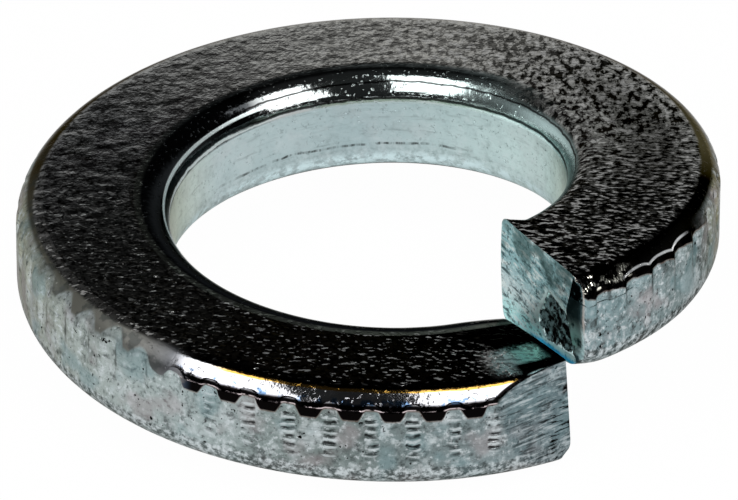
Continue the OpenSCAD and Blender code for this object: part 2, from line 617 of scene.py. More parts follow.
    def sweep(self) -> SweptSide:
        """Sweep the section along the turn.

        The bore's edges go from squared to round behind the raised end, the outer wall is
        drawn in to the least of its limits, and then come the shear's marks at the ends.

        Returns:
            The swept side.
        """
        section = self.section
        outline, zones, rise = section.outline(section.inner_round)
        sharp, _, _ = section.outline(self.shear.squared_round)
        azimuth = np.repeat(self.station_azimuths()[:, None], len(outline), axis=1)
        back = self.wall_length(azimuth - azimuth[0])
        sharpness = smooth_step(fade(back, self.shear.squared_reach))[..., None]
        points = outline[None] * (1.0 - sharpness) + sharp[None] * sharpness
        limits = self.wall_limits(azimuth, points[..., 1])
        whole = points[..., 0].copy()
        points[..., 0] = np.minimum.reduce([whole, *limits.values()])
        points[..., 1] = self.ends_dressed(azimuth, points)
        points[..., 0] -= self.bore_bulge(azimuth, points)
        return SweptSide(azimuth, points, whole, limits, self.place(azimuth, points), zones, rise)

    def build(self) -> bpy.types.Object:
        """Build the washer's mesh from the swept side and the two cut faces.

        Returns:
            The object, at the origin, with its place in its mesh.
        """
        side = self.sweep()
        raised = self.cap(side.azimuth[0, 0], side.points[0], is_raised=True)
        low = self.cap(side.azimuth[-1, 0], side.points[-1], is_raised=False)
        grid = np.arange(side.azimuth.size).reshape(side.azimuth.shape)
        places, polygons = self.joined(side, grid, (raised, low))
        drop = np.array([0.0, 0.0, side.places[..., 2].min()])
        lowest, highest = (np.array(corner) / MM for corner in CAD_BOUNDS)
        places = np.clip(places - drop, lowest, highest)
        mesh = bpy.data.meshes.new(NODE)
        mesh.from_pydata((places * MM).tolist(), [], polygons)
        mesh.polygons.foreach_set("use_smooth", np.ones(len(mesh.polygons), dtype=bool))
        self.paint(mesh, side, (raised, low))
        self.sharpen_cut_rims(mesh, grid)
        mesh.update()
        piece = bpy.data.objects.new("washer_ring", mesh)
        bpy.context.scene.collection.objects.link(piece)
        log.info("%s: %d vertices, %d faces", piece.name, len(mesh.vertices), len(mesh.polygons))
        return piece

    def joined(
        self, side: SweptSide, grid: np.ndarray, faces: Sequence[CutFace]
    ) -> tuple[np.ndarray, list[list[int]]]:
        """Join the swept side and the two cut faces, whose middles are closed by triangles.

        Args:
            side: The swept side.
            grid: Vertex numbers of the swept side, a row per station.
            faces: The two cut faces, the raised end's first.

        Returns:
            The places of all vertices and the vertex numbers of each polygon.
        """
        places, polygons = [side.places.reshape(-1, 3)], self.grid_faces(grid).tolist()
        start = grid.size
        for face, rim, is_raised in zip(faces, (grid[0], grid[-1]), (True, False)):
            inner = start + np.arange(face.torn.size).reshape(face.torn.shape)
            polygons += self.grid_faces(np.vstack([rim[None], inner]), flip=not is_raised).tolist()
            middle = start + inner.size
            fan = np.stack([inner[-1], np.roll(inner[-1], -1), np.full(rim.size, middle)], axis=1)
            polygons += (fan[:, ::-1] if is_raised else fan).tolist()
            places += [face.places.reshape(-1, 3), face.places[-1].mean(axis=0)[None]]
            start = middle + 1
        return np.concatenate(places), polygons

    @staticmethod
    def grid_faces(grid: np.ndarray, flip: bool = False) -> np.ndarray:
        """Four-sided faces of a grid of vertex numbers that closes along its second axis.

        Args:
            grid: The vertex numbers.
            flip: Whether the faces look the other way.

        Returns:
            The faces, as rows of four vertex numbers.
        """
        ahead = np.roll(grid, -1, axis=1)
        quads = np.stack([grid[:-1], grid[1:], ahead[1:], ahead[:-1]], axis=-1).reshape(-1, 4)
        return quads[:, ::-1] if flip else quads

    @staticmethod
    def sharpen_cut_rims(mesh: bpy.types.Mesh, grid: np.ndarray) -> None:
        """Mark the edges of the two cut rims as sharp, so that the cut faces shade as flat.

        Args:
            mesh: The washer's mesh.
            grid: Vertex numbers of the swept side, a row per station.
        """
        rims = np.zeros(len(mesh.vertices), dtype=bool)
        rims[grid[0]] = True
        rims[grid[-1]] = True
        ends = np.empty(len(mesh.edges) * 2, dtype=np.int32)
        mesh.edges.foreach_get("vertices", ends)
        ends = ends.reshape(-1, 2)
        sharp = rims[ends[:, 0]] & rims[ends[:, 1]]
        attribute = mesh.attributes.new("sharp_edge", "BOOLEAN", "EDGE")
        attribute.data.foreach_set("value", sharp)

    def paint(self, mesh: bpy.types.Mesh, side: SweptSide, faces: Sequence[CutFace]) -> None:
        """Store on each vertex what the finish needs to know.

        Args:
            mesh: The washer's mesh.
            side: The swept side.
            faces: The two cut faces, the raised end's first.
        """
        wall = side.weight(Zone.OUTER_WALL, Zone.TOP_EDGE)
        rungs = self.rung_wave(side.azimuth, side.points[..., 1])
        layers = {
            "bearing": side.weight(Zone.TOP_FACE, Zone.UNDERSIDE),
            "outer_wall": side.weight(Zone.OUTER_WALL),
            "bore_wall": side.weight(Zone.BORE_WALL),
            "foot": side.weight(Zone.FOOT_EDGE, Zone.BORE_FOOT_EDGE),
            "outer_top": side.weight(Zone.TOP_EDGE),
            "inner_top": side.weight(Zone.BORE_TOP_EDGE),
            "outer_rise": side.weight(Zone.TOP_EDGE) * side.rise + side.weight(Zone.TOP_FACE),
            "inner_rise": side.weight(Zone.BORE_TOP_EDGE) * side.rise + side.weight(Zone.TOP_FACE),
            "pressed": side.cut_away("flat"),
            "bevel": side.cut_away("bevel"),
            "mark_away": np.abs(self.from_mark(side.azimuth)),
            "flat_gap": np.clip(side.whole - side.limits["flat"], -0.5, 0.5),
            "rung": rungs * wall * (1.0 - side.cut_away("flat")),
            "azimuth": side.azimuth,
            "radius": side.points[..., 0],
            "height": side.points[..., 1],
            "cut_face": 0.0,
            "torn": 0.0,
        }
        for name, values in layers.items():
            parts = [np.broadcast_to(values, side.azimuth.shape).reshape(-1)]
            for face in faces:
                known = {
                    "cut_face": 1.0,
                    "torn": face.torn,
                    "azimuth": face.azimuth,
                    "radius": face.points[..., 0],
                    "height": face.points[..., 1],
                }
                rings = np.broadcast_to(known.get(name, 0.0), face.torn.shape)
                parts += [rings.reshape(-1), rings[-1].mean(keepdims=True)]
            attribute = mesh.attributes.new(name, "FLOAT", "POINT")
            attribute.data.foreach_set("value", np.concatenate(parts).astype(np.float32))


def new_material(mesh: bpy.types.Mesh, name: str) -> bpy.types.NodeTree:
    """Give a mesh a new material and return the material's node tree."""
    material = bpy.data.materials.new(name)
    material.use_nodes = True
    mesh.materials.append(material)
    return material.node_tree


class Signal:
    """A shader socket on which Python's operators add Math nodes."""

    def __init__(self, tree: "FinishTree", socket: bpy.types.NodeSocket) -> None:
        """Wrap a socket of a tree."""
        self.tree = tree
        self.socket = socket

    def math(self, operation: str, *others: Any, clamp: bool = False) -> "Signal":
        """Add a Math node.

        Args:
            operation: Blender's name of the operation.
            others: Further operands, numbers or signals.
            clamp: Whether the result is held between 0 and 1.

        Returns:
            The result.
        """
        settings = {"operation": operation, "use_clamp": clamp}
        inputs = dict(enumerate((self, *others)))
        return self.tree.node("ShaderNodeMath", settings, inputs)

    def __add__(self, other: Any) -> "Signal":
        """Add."""
        return self.math("ADD", other)

    __radd__ = __add__

    def __mul__(self, other: Any) -> "Signal":
        """Multiply."""
        return self.math("MULTIPLY", other)

    def __sub__(self, other: Any) -> "Signal":
        """Subtract."""
        return self.math("SUBTRACT", other)

    def __rsub__(self, other: Any) -> "Signal":
        """Subtract from a number."""
        return self.math("MULTIPLY_ADD", -1.0, other)

    def __truediv__(self, other: Any) -> "Signal":
        """Divide."""
        return self.math("DIVIDE", other)

    def held(self) -> "Signal":
        """Hold between 0 and 1."""
        return self.math("ADD", 0.0, clamp=True)

    def step(self, low: float, high: float) -> "Signal":
        """Rise smoothly from 0 at low to 1 at high, or fall if low is the greater."""
        inputs = {"Value": self, "From Min": low, "From Max": high}
        return self.tree.node("ShaderNodeMapRange", {"interpolation_type": "SMOOTHSTEP"}, inputs)

    def between(self, rise: tuple[float, float], fall: tuple[float, float]) -> "Signal":
        """Rise smoothly from 0 to 1 over the first span and fall back over the second."""
        return self.step(*rise) * self.step(*reversed(fall))

    def near_zero(self, reach: float, core: float) -> "Signal":
        """Be 1 within the core on both sides of zero and fall smoothly to 0 at the reach."""
        return self.math("ABSOLUTE").step(reach, core)


class FinishTree:
    """A node tree with one method that adds any node."""

    def __init__(self, tree: bpy.types.NodeTree) -> None:
        """Start from an empty tree."""
        self.nodes = tree.nodes
        self.links = tree.links
        tree.nodes.clear()

    @cached_property
    def spot(self) -> Signal:
        """The object coordinates, in millimetres."""
        place = self.node("ShaderNodeTexCoord", output="Object")
        settings = {"operation": "SCALE"}
        return self.node("ShaderNodeVectorMath", settings, {0: place, "Scale": 1.0 / MM})

    def stretched(self, x: float, y: float) -> Signal:
        """The object coordinates with X and Y scaled: below 1 stretches a noise along an axis."""
        inputs = {0: self.spot, 1: (x, y, 1.0)}
        return self.node("ShaderNodeVectorMath", {"operation": "MULTIPLY"}, inputs)

    def finish(self, kind: str, surface: Signal) -> None:
        """Link the surface to an output node of the kind given."""
        output = self.nodes.new(kind)
        self.links.new(surface.socket, output.inputs["Surface"])

    def tinted(self, azimuth: Signal, tints: Sequence["Tint"]) -> Signal:
        """Read a row of tints at the azimuth, blended evenly between neighbours.

        Args:
            azimuth: The azimuth in degrees.
            tints: The tints, by rising azimuth.

        Returns:
            The colour.
        """
        start, end = tints[0].azimuth, tints[-1].azimuth
        inputs = {"Value": azimuth, "From Min": start, "From Max": end}
        share = self.node("ShaderNodeMapRange", None, inputs)
        stops = [((tint.azimuth - start) / (end - start), tint.colour) for tint in tints]
        return self.node("ShaderNodeValToRGB", {"stops": stops}, {"Fac": share})

    def node(
        self,
        kind: str,
        settings: dict[str, Any] | None = None,
        inputs: dict[Any, Any] | None = None,
        output: Any = 0,
    ) -> Signal:
        """Add a node.

        Args:
            kind: Blender's type name.
            settings: Properties that are set first. A ramp's stops go under "stops".
            inputs: Values or signals by socket name or number.
            output: Name or number of the socket that is returned.

        Returns:
            The output socket, wrapped.
        """
        made = self.nodes.new(kind)
        for name, value in (settings or {}).items():
            if name == "stops":
                self.set_stops(made.color_ramp, value)
            else:
                setattr(made, name, value)
        for name, value in (inputs or {}).items():
            socket = made.inputs[name]
            if isinstance(value, Signal):
                self.links.new(value.socket, socket)
            else:
                socket.default_value = value
        return Signal(self, made.outputs[output])

    @staticmethod
    def set_stops(ramp: bpy.types.ColorRamp, stops: Sequence[tuple[float, Colour]]) -> None:
        """Give a colour ramp its stops.

        Args:
            ramp: The colour ramp.
            stops: Pairs of place and colour, by rising place.
        """
        while len(ramp.elements) > 1:
            ramp.elements.remove(ramp.elements[-1])
        for number, (place, colour) in enumerate(stops):
            stop = ramp.elements[0] if number == 0 else ramp.elements.new(place)
            stop.position = place
            stop.color = (*colour, 1.0)

    def layer(self, name: str) -> Signal:
        """Read a number that is stored on the mesh."""
        return self.node("ShaderNodeAttribute", {"attribute_name": name}, output="Fac")

    def noise(self, vector: Signal, scale: float, detail: float = 2.0, rough: float = 0.5) -> Signal:
        """Add a noise between 0 and 1."""
        inputs = {"Vector": vector, "Scale": scale, "Detail": detail, "Roughness": rough}
        return self.node("ShaderNodeTexNoise", None, inputs, output="Fac")

    def vector(self, x: Any, y: Any) -> Signal:
        """Join two numbers or signals."""
        return self.node("ShaderNodeCombineXYZ", None, {0: x, 1: y})

    def blend(self, share: Any, first: Any, second: Any) -> Signal:
        """Mix two colours, with the second coming in as the share grows."""
        settings = {"data_type": "RGBA", "clamp_factor": True}
        inputs = {0: share, 6: self.colour(first), 7: self.colour(second)}
        return self.node("ShaderNodeMix", settings, inputs, output=2)

    @staticmethod
    def colour(value: Any) -> Any:
        """Give a colour of three numbers its fourth."""
        return value if isinstance(value, Signal) else (*value, 1.0)


class WasherTree(FinishTree):
    """The washer's tree, with the azimuth, radius and height that its mesh has stored."""

    def __init__(self, tree: bpy.types.NodeTree) -> None:
        """Start from an empty tree and read the azimuth, the radius and the height."""
        super().__init__(tree)
        self.azimuth = self.layer("azimuth")
        self.radius = self.layer("radius")
        self.height = self.layer("height")


@dataclass(frozen=True)
class Tint:
    """A colour, in scene-linear numbers, at an azimuth in degrees."""

    azimuth: float
    colour: Colour


@dataclass(frozen=True)
class ZincPlate:
    """Bright zinc plate with a clear blue passivation, in scene-linear colours.

    Most tones go by the azimuth, in degrees: 0 is the right of the photo's view, 90 the back,
    180 the left and 270 the front. The raised end lies at -53 and the low end at 306. Radii and
    heights are in millimetres, and noises lie between 0 and 1.
    """

    # Painted reflection on the top face: near black at the front, pale at the back.
    face_reflection_tints: tuple[Tint, ...] = (
        Tint(-53.0, (0.03, 0.03, 0.028)),
        Tint(-20.0, (0.08, 0.08, 0.077)),
        Tint(20.0, (0.47, 0.465, 0.435)),
        Tint(50.0, (0.58, 0.565, 0.53)),
        Tint(75.0, (0.89, 0.86, 0.80)),
        Tint(110.0, (0.88, 0.86, 0.81)),
        Tint(150.0, (0.36, 0.36, 0.36)),
        Tint(200.0, (0.11, 0.11, 0.107)),
        Tint(245.0, (0.024, 0.022, 0.020)),
        Tint(300.0, (0.005, 0.005, 0.004)),
    )
    # The outer edge's tone with painted reflection and shade: near black on the right, dark at the
    # back, a dark dip before the front.
    outer_edge_reflection_tints: tuple[Tint, ...] = (
        Tint(-53.0, (0.006, 0.006, 0.006)),
        Tint(-8.0, (0.004, 0.004, 0.003)),
        Tint(5.0, (0.15, 0.13, 0.07)),
        Tint(45.0, (0.045, 0.032, 0.017)),
        Tint(170.0, (0.05, 0.04, 0.024)),
        Tint(205.0, (0.19, 0.19, 0.155)),
        Tint(228.0, (0.24, 0.24, 0.22)),
        Tint(236.5, (0.11, 0.115, 0.125)),
        Tint(239.5, (0.40, 0.40, 0.42)),
    )
    # The bore's top edge: the plate's teal tone with painted reflection and shade, pale on the right
    # and back, near black on the left and front.
    inner_edge_reflection_tints: tuple[Tint, ...] = (
        Tint(-53.0, (0.10, 0.11, 0.11)),
        Tint(-20.0, (0.50, 0.62, 0.60)),
        Tint(10.0, (0.78, 1.0, 0.97)),
        Tint(45.0, (0.78, 1.0, 0.98)),
        Tint(70.0, (0.48, 0.56, 0.55)),
        Tint(118.0, (0.42, 0.44, 0.44)),
        Tint(126.0, (0.03, 0.033, 0.035)),
        Tint(250.0, (0.02, 0.022, 0.026)),
    )
    wall_tints: tuple[Tint, ...] = (
        Tint(-53.0, (0.24, 0.33, 0.35)),
        Tint(-20.0, (0.23, 0.28, 0.28)),
        Tint(-9.0, (0.31, 0.31, 0.22)),
        # Painted shade: dark brown along the wall's right contour.
        Tint(-2.0, (0.16, 0.14, 0.08)),
        Tint(15.0, (0.27, 0.31, 0.31)),
        Tint(165.0, (0.27, 0.31, 0.31)),
        Tint(180.0, (0.40, 0.41, 0.32)),
        Tint(215.0, (0.37, 0.42, 0.40)),
        Tint(240.0, (0.37, 0.44, 0.44)),
        Tint(262.0, (0.18, 0.22, 0.213)),
        Tint(306.0, (0.22, 0.28, 0.30)),
    )
    bore_tints: tuple[Tint, ...] = (
        Tint(0.0, (0.78, 0.95, 0.83)),
        Tint(25.0, (0.58, 0.74, 0.72)),
        Tint(90.0, (0.39, 0.50, 0.52)),
        Tint(140.0, (0.46, 0.56, 0.57)),
        Tint(175.0, (0.70, 0.78, 0.66)),
    )
    black: Colour = (0.003, 0.0025, 0.0025)
    gold: Colour = (0.42, 0.25, 0.06)
    rust: Colour = (0.12, 0.055, 0.03)
    pale: Colour = (0.62, 0.68, 0.70)
    cut: Colour = (0.42, 0.67, 0.71)
    cut_pale: Colour = (0.85, 0.94, 0.96)
    cut_deep: Colour = (0.05, 0.10, 0.11)
    cut_teal: Colour = (0.62, 1.0, 1.0)
    cut_blue: Colour = (0.05, 0.62, 1.0)
    torn: Colour = (0.20, 0.30, 0.31)
    bevel: Colour = (0.055, 0.10, 0.11)
    bevel_pale: Colour = (0.75, 1.0, 1.0)
    face_pale: Colour = (0.95, 0.93, 0.90)
    underside: Colour = (0.30, 0.32, 0.32)
    # Dark tone of grime, and painted shade along the walls' foot.
    grime_and_shade: Colour = (0.055, 0.065, 0.065)
    speck: Colour = (0.75, 0.75, 0.73)
    # Painted brown shade along the bore on the top face.
    brown: Colour = (0.035, 0.028, 0.018)
    # Painted sheen colours of the low end's top face.
    sheen: Colour = (1.0, 1.0, 0.97)
    sheen_green: Colour = (0.55, 1.0, 0.88)
    blush: Colour = (0.34, 0.30, 0.31)
    slate: Colour = (0.20, 0.31, 0.33)
    # Painted light low in the bore.
    bore_lit: Colour = (0.68, 0.85, 0.88)
    pressed: Colour = (0.12, 0.19, 0.21)
    edge_blue: Colour = (0.10, 0.17, 0.28)
    # Painted glint colour at the raised end.
    glint: Colour = (1.0, 0.98, 0.85)
    edge_thread: Colour = (0.80, 0.68, 0.70)
    bevel_line: Colour = (0.55, 0.50, 0.46)
    # Pale colour of the cut face's streaks and of the painted highlight lines on the bore's edge.
    pale_line: Colour = (0.90, 1.0, 1.0)
    # Painted shade: the dark ring on the bore's edge on the right.
    bore_ring: Colour = (0.05, 0.055, 0.05)
    cut_fleck: Colour = (0.86, 1.0, 1.0)
    cut_shade: Colour = (0.08, 0.15, 0.145)
    torn_rim: Colour = (0.80, 1.0, 1.0)
    white: Colour = (1.0, 1.0, 1.0)
    edge_tint: tuple[float, float, float, float] = (0.42, 0.415, 0.40, 1.0)

    def dress(self, piece: bpy.types.Object) -> None:
        """Make the finish and give it to the washer."""
        tree = WasherTree(new_material(piece.data, "zinc_plate"))
        inputs = {
            "Base Color": self.colour(tree),
            "Metallic": 1.0,
            "Specular Tint": self.edge_tint,
            "Roughness": self.roughness(tree),
            "Normal": self.relief(tree),
        }
        tree.finish("ShaderNodeOutputMaterial", tree.node("ShaderNodeBsdfPrincipled", None, inputs))

    def colour(self, tree: WasherTree) -> Signal:
        """Base colour: the tones of all zones, the later ones laid over the earlier ones."""
        base = tree.blend(tree.layer("inner_top"), self.wall_colour(tree), self.bore_edge_colour(tree))
        base = self.over_outer_edge(tree, base)
        base = tree.blend(self.face_share(tree), base, self.face_colour(tree))
        base = self.over_bevel(tree, base)
        return tree.blend(tree.layer("cut_face"), base, self.cut_colour(tree))

    @staticmethod
    def face_share(tree: WasherTree) -> Signal:
        """Where the faces' finish reaches: a little way over the rounded edges too."""
        azimuth = tree.azimuth
        inner = tree.layer("inner_rise").step(0.54, 0.68) * azimuth.step(60.0, 25.0)
        side = azimuth.between((165.0, 190.0), (222.0, 236.0)) * 0.10
        outer = (tree.layer("outer_rise") + side).step(0.78, 0.88)
        return (tree.layer("bearing") + inner + outer).held()

    def face_colour(self, tree: WasherTree) -> Signal:
        """The bearing faces: a painted dark-to-pale reflection, with pale flecks and a brown-grey
        grain.

        The flecks are stretched noises, upright at the back and level at the front. Folds mark
        the left of the back, and a painted brown shade follows the bore there.

        Args:
            tree: The washer's tree.

        Returns:
            The colour.
        """
        azimuth, radius = tree.azimuth, tree.radius
        tone = tree.tinted(azimuth, self.face_reflection_tints)
        grain = tree.noise(tree.spot, 6.5, 4.0, 0.75)
        soft = azimuth.between((40.0, 75.0), (125.0, 160.0)) * 0.35
        tone = tree.blend(grain.step(0.54, 0.40) * (0.85 - soft), tone, self.black)
        level = tree.stretched(0.5, 1.0)
        dashes = tree.noise(level, 9.5)
        pits = tree.noise(tree.stretched(1.0, 0.55), 5.5, 2.0, 0.6)
        pattern = pits + (dashes - pits) * azimuth.step(25.0, -10.0)
        right = azimuth.step(140.0, 60.0)
        tone = tree.blend(pattern.step(0.49, 0.42) * right * (0.95 - soft), tone, self.black)
        tone = tree.blend(pattern.step(0.54, 0.63) * right * 0.7, tone, self.face_pale)
        middle = radius.between((6.2, 7.0), (7.6, 8.3)) * azimuth.between((-40.0, -15.0), (25.0, 50.0))
        tone = tree.blend(middle * 0.45, tone, self.black)
        folds = tree.noise(level, 3.0, 3.0, 0.65)
        left = azimuth.between((95.0, 140.0), (180.0, 205.0))
        tone = tree.blend(folds.step(0.50, 0.40) * left * 0.7, tone, self.black)
        tone = tree.blend(folds.step(0.54, 0.64) * left * 0.35, tone, self.face_pale)
        specks = dashes.step(0.60, 0.67) * azimuth.between((150.0, 200.0), (293.0, 299.0))
        tone = tree.blend(specks * 0.9, tone, self.speck)
        # Painted shade: a brown band beside the bore at the back.
        rim = radius.step(6.25, 5.85) * azimuth.between((45.0, 75.0), (190.0, 215.0))
        tone = tree.blend(rim * 0.7, tone, self.brown)
        tone = self.over_low_end(tree, tone, grain, dashes)
        plain = tree.blend(grain.step(0.56, 0.42) * 0.7, self.underside, self.grime_and_shade)
        return tree.blend(tree.height.step(1.3, 0.9), tone, plain)

    def over_low_end(self, tree: WasherTree, tone: Signal, grain: Signal, dashes: Signal) -> Signal:
        """Lay the low end's painted black and its ragged, pale to green painted sheen over the top
        face.

        Args:
            tree: The washer's tree.
            tone: The face's colour so far.
            grain: The face's noise that roughens the sheen's border.
            dashes: The face's level flecks, which break the sheen up.

        Returns:
            The colour.
        """
        azimuth, radius = tree.azimuth, tree.radius
        # Painted black reflection near the bore and towards the low end.
        near_bore = (radius + (azimuth - 296.0) * -0.05).step(7.5, 6.5)
        tone = tree.blend(near_bore * azimuth.step(285.0, 292.0) * 0.95, tone, self.black)
        tone = tree.blend(azimuth.step(293.0, 297.0), tone, self.black)
        # Painted sheen, a reflection of the raised end, with a painted black notch.
        bright = tree.blend(azimuth.step(296.0, 300.0), self.sheen, self.sheen_green)
        bright = tree.blend(dashes.step(0.48, 0.38) * 0.6, bright, self.black)
        ragged = (grain - 0.5) * 1.2
        sheen = (radius + ragged).step(7.15, 7.55) * (azimuth + ragged * 6.0).step(291.0, 295.5)
        notch = radius.step(8.02, 8.16) * azimuth.step(295.5, 297.5)
        return tree.blend(sheen * (1.0 - notch) * azimuth.step(305.0, 303.5), tone, bright)

    def wall_colour(self, tree: WasherTree) -> Signal:
        """The outer wall, the bore's wall and the foot edges: mottled, pitted and scuffed.

        Over the mottled tints come drawn streaks, the bore's seam, speckled foot edges, a painted lit
        band low in the bore, painted shade in dark foot lines, and painted shade and light in the
        roller marks' rungs.

        Args:
            tree: The washer's tree.

        Returns:
            The colour.
        """
        azimuth, height = tree.azimuth, tree.height
        is_bore = tree.radius.step(6.6, 6.2)
        strong = 1.35 - is_bore * 1.05 + azimuth.step(0.0, -20.0) * 0.3
        outer = tree.tinted(azimuth, self.wall_tints)
        bore = tree.tinted(azimuth, self.bore_tints)
        wall = self.mottled(tree, tree.blend(is_bore, outer, bore), strong)
        streaks = tree.noise(tree.vector(azimuth * 0.06, height * 5.0), 1.5, 3.0, 0.6)
        wall = tree.blend(streaks.step(0.55, 0.75) * 0.3, wall, self.grime_and_shade)
        wall = tree.blend(self.bore_seam(tree) * is_bore, wall, self.grime_and_shade)
        speckle = tree.noise(tree.spot, 6.5, 3.0, 0.7)
        foot = tree.blend(speckle.step(0.40, 0.62), self.grime_and_shade, self.pale)
        wall = tree.blend(tree.layer("foot") * 0.45 * strong, wall, foot)
        # Painted light: a pale band low in the bore.
        lit = height.step(0.75, 0.45) * tree.noise(tree.spot, 3.0, 4.0, 0.7).step(0.42, 0.58)
        wall = tree.blend(lit * is_bore * 0.8, wall, self.bore_lit)
        # Painted shade: dark lines along the foot of the walls and the bore.
        wall = tree.blend(height.step(0.16, 0.08) * 0.7, wall, self.grime_and_shade)
        wall = tree.blend(height.step(0.20, 0.15) * is_bore * 0.9, wall, self.black)
        # Painted shade in the rungs' grooves and painted light on their crests.
        rung = tree.layer("rung")
        wall = tree.blend(rung.step(0.25, 0.8) * 0.9, wall, self.black)
        wall = tree.blend(rung.step(-0.2, -0.7) * 0.65, wall, self.pale)
        return self.over_flat(tree, wall)

    def mottled(self, tree: WasherTree, wall: Signal, strong: Signal) -> Signal:
        """Lay blotches over a wall's tint: three noises of falling size, two hues and pits.

        Args:
            tree: The washer's tree.
            wall: The wall's tint.
            strong: How strong the blotches are.

        Returns:
            The colour.
        """
        for scale, share in ((0.9, 0.5), (2.6, 0.55), (6.5, 0.6)):
            mottle = tree.noise(tree.spot, scale, 3.0, 0.65)
            wall = tree.blend(mottle.step(0.52, 0.72) * strong * share, wall, self.pale)
            wall = tree.blend(mottle.step(0.46, 0.28) * strong * share, wall, self.grime_and_shade)
        hue = tree.noise(tree.spot, 0.8)
        wall = tree.blend(hue.step(0.52, 0.66) * strong * 0.35, wall, self.blush)
        wall = tree.blend(hue.step(0.46, 0.34) * strong * 0.35, wall, self.slate)
        pits = tree.noise(tree.spot, 6.0).step(0.68, 0.73)
        return tree.blend(pits * 0.85 * strong, wall, self.black)

    def over_flat(self, tree: WasherTree, wall: Signal) -> Signal:
        """Lay the cutter's flat over the wall: darker, with level strokes and a dark spot."""
        azimuth, height = tree.azimuth, tree.height
        pressed = tree.layer("pressed")
        wall = tree.blend(pressed * 0.40, wall, self.pressed)
        spot = (height * 2.0 + azimuth.math("SINE") * 0.2 - 3.9).near_zero(0.35, 0.1)
        wall = tree.blend(spot * azimuth.step(304.6, 305.3) * pressed, wall, self.black)
        strokes = tree.noise(tree.vector(azimuth * 0.16, height * 8.0), 1.4, 3.0, 0.6)
        deep = pressed * (0.60 + azimuth.step(298.0, 303.0) * height.step(2.0, 1.4) * 0.5)
        wall = tree.blend(strokes.step(0.53, 0.60) * deep, wall, self.black)
        return tree.blend(strokes.step(0.46, 0.36) * pressed * 0.55, wall, self.pale)

    @staticmethod
    def bore_seam(tree: WasherTree) -> Signal:
        """A broken, wavering dark line along the lower part of the bore's wall at the back."""
        azimuth = tree.azimuth
        wander = tree.noise(tree.vector(azimuth * 0.05, 0.0), 1.0, 3.0, 0.6)
        width = tree.noise(tree.vector(azimuth * 0.35, 4.0), 1.0, 3.0, 0.6)
        away = (tree.height - (wander * 0.30 + 0.74)).math("ABSOLUTE")
        line = (away - width * 0.05).step(0.022, -0.004)
        broken = tree.noise(tree.vector(azimuth * 0.22, 9.0), 1.0, 4.0, 0.7).step(0.42, 0.60)
        return line * broken * azimuth.between((50.0, 75.0), (120.0, 150.0))

    def over_outer_edge(self, tree: WasherTree, base: Signal) -> Signal:
        """Lay the outer top edge over the base.

        Its border with the wall has a tab at every mark: square at the front, rounded and
        higher on the left, where the wall's tone reaches over most of the edge. On the right
        the border is a row of arcs. Rust follows it, and a thin pale thread at the front.

        Args:
            tree: The washer's tree.
            base: The colour so far.

        Returns:
            The colour with the edge over it.
        """
        azimuth, height = tree.azimuth, tree.height
        rise = tree.layer("outer_rise")
        cloud = tree.noise(tree.spot, 2.0, 3.0, 0.6)
        waver = cloud - 0.5
        sway = tree.noise(tree.vector(azimuth * 0.11, 2.0), 1.0, 1.0, 0.4) * 0.25
        right = azimuth.step(-6.0, -24.0)
        left = azimuth.step(236.0, 241.0)
        leftward = azimuth.step(240.0, 226.0) * (1.0 - right)
        front = (left + right).held()
        turns = (azimuth - RollerMarks.arc_azimuth) * (RollerMarks.count / 360.0)
        turn = turns.math("FRACT") * 2.0 - 1.0
        arc = (1.0 - turn * turn) * 0.11 * right
        level = rise + waver * 0.08
        tone = self.outer_edge_tone(tree, cloud, level, left, front)
        # Painted highlight: a thin white line along the edge on the right.
        line = (rise - sway - arc * 0.8 - 0.22).near_zero(0.040, 0.016)
        line = line * azimuth.between((-46.0, -43.0), (-28.0, -24.0))
        tone = tree.blend(line, tone, self.white)
        tone = self.over_edge_ends(tree, tone, level)
        away = tree.layer("mark_away")
        square = away.step(0.36, 0.14) * 0.25
        rounded = (1.0 - away * away * 5.5).held() * 0.28
        tab = (square + (rounded - square) * leftward) * (1.0 - right)
        raised = right * 0.16 + leftward * (0.26 + sway * 0.6)
        scallop = height - tab - arc + waver * 0.05 - (raised + 2.05)
        outside = tree.radius.step(7.0, 7.4)
        above = (scallop / (1.0 + leftward * 2.4)).step(-0.012, 0.018) * outside
        side = azimuth.step(165.0, 190.0) * 0.12
        scalloped = (azimuth.step(196.0, 212.0) + right).held()
        whole = tree.blend(scalloped, (rise - side).step(0.42, 0.56), above)
        smooth = 1.0 - tree.layer("pressed")
        cover = whole * smooth * (1.0 - tree.layer("bearing"))
        rust = scallop.near_zero(0.05, 0.012) * front * smooth * outside
        base = tree.blend(rust * 0.55, base, self.rust)
        base = tree.blend(cover, base, tone)
        broken = tree.noise(tree.vector(azimuth * 0.4, 7.0), 1.0).step(0.44, 0.52)
        thread = (height - 2.31 + waver * 0.02).near_zero(0.022, 0.010) * broken * left
        return tree.blend(thread * cover * 0.8, base, self.edge_thread)

    def outer_edge_tone(
        self, tree: WasherTree, cloud: Signal, level: Signal, left: Signal, front: Signal
    ) -> Signal:
        """The outer top edge's own tone.

        Grime clouds the left. The front has painted black reflections next to the wall and next to
        the face, bright between them, blue in spots above the lower black, and gold below the upper
        one.

        Args:
            tree: The washer's tree.
            cloud: A noise that clouds the left.
            level: The edge's rise from the wall to the face, wavering.
            left: The share of the front's left part.
            front: The share of the whole front.

        Returns:
            The colour.
        """
        azimuth = tree.azimuth
        tone = tree.tinted(azimuth, self.outer_edge_reflection_tints)
        cloudy = cloud.step(0.52, 0.40) * azimuth.between((150.0, 190.0), (234.0, 238.0))
        tone = tree.blend(cloudy * 0.6, tone, self.grime_and_shade)
        blue = tree.noise(tree.spot, 3.2, 3.0, 0.6).step(0.50, 0.60) * level.step(0.50, 0.42)
        tone = tree.blend(blue * left, tone, self.edge_blue)
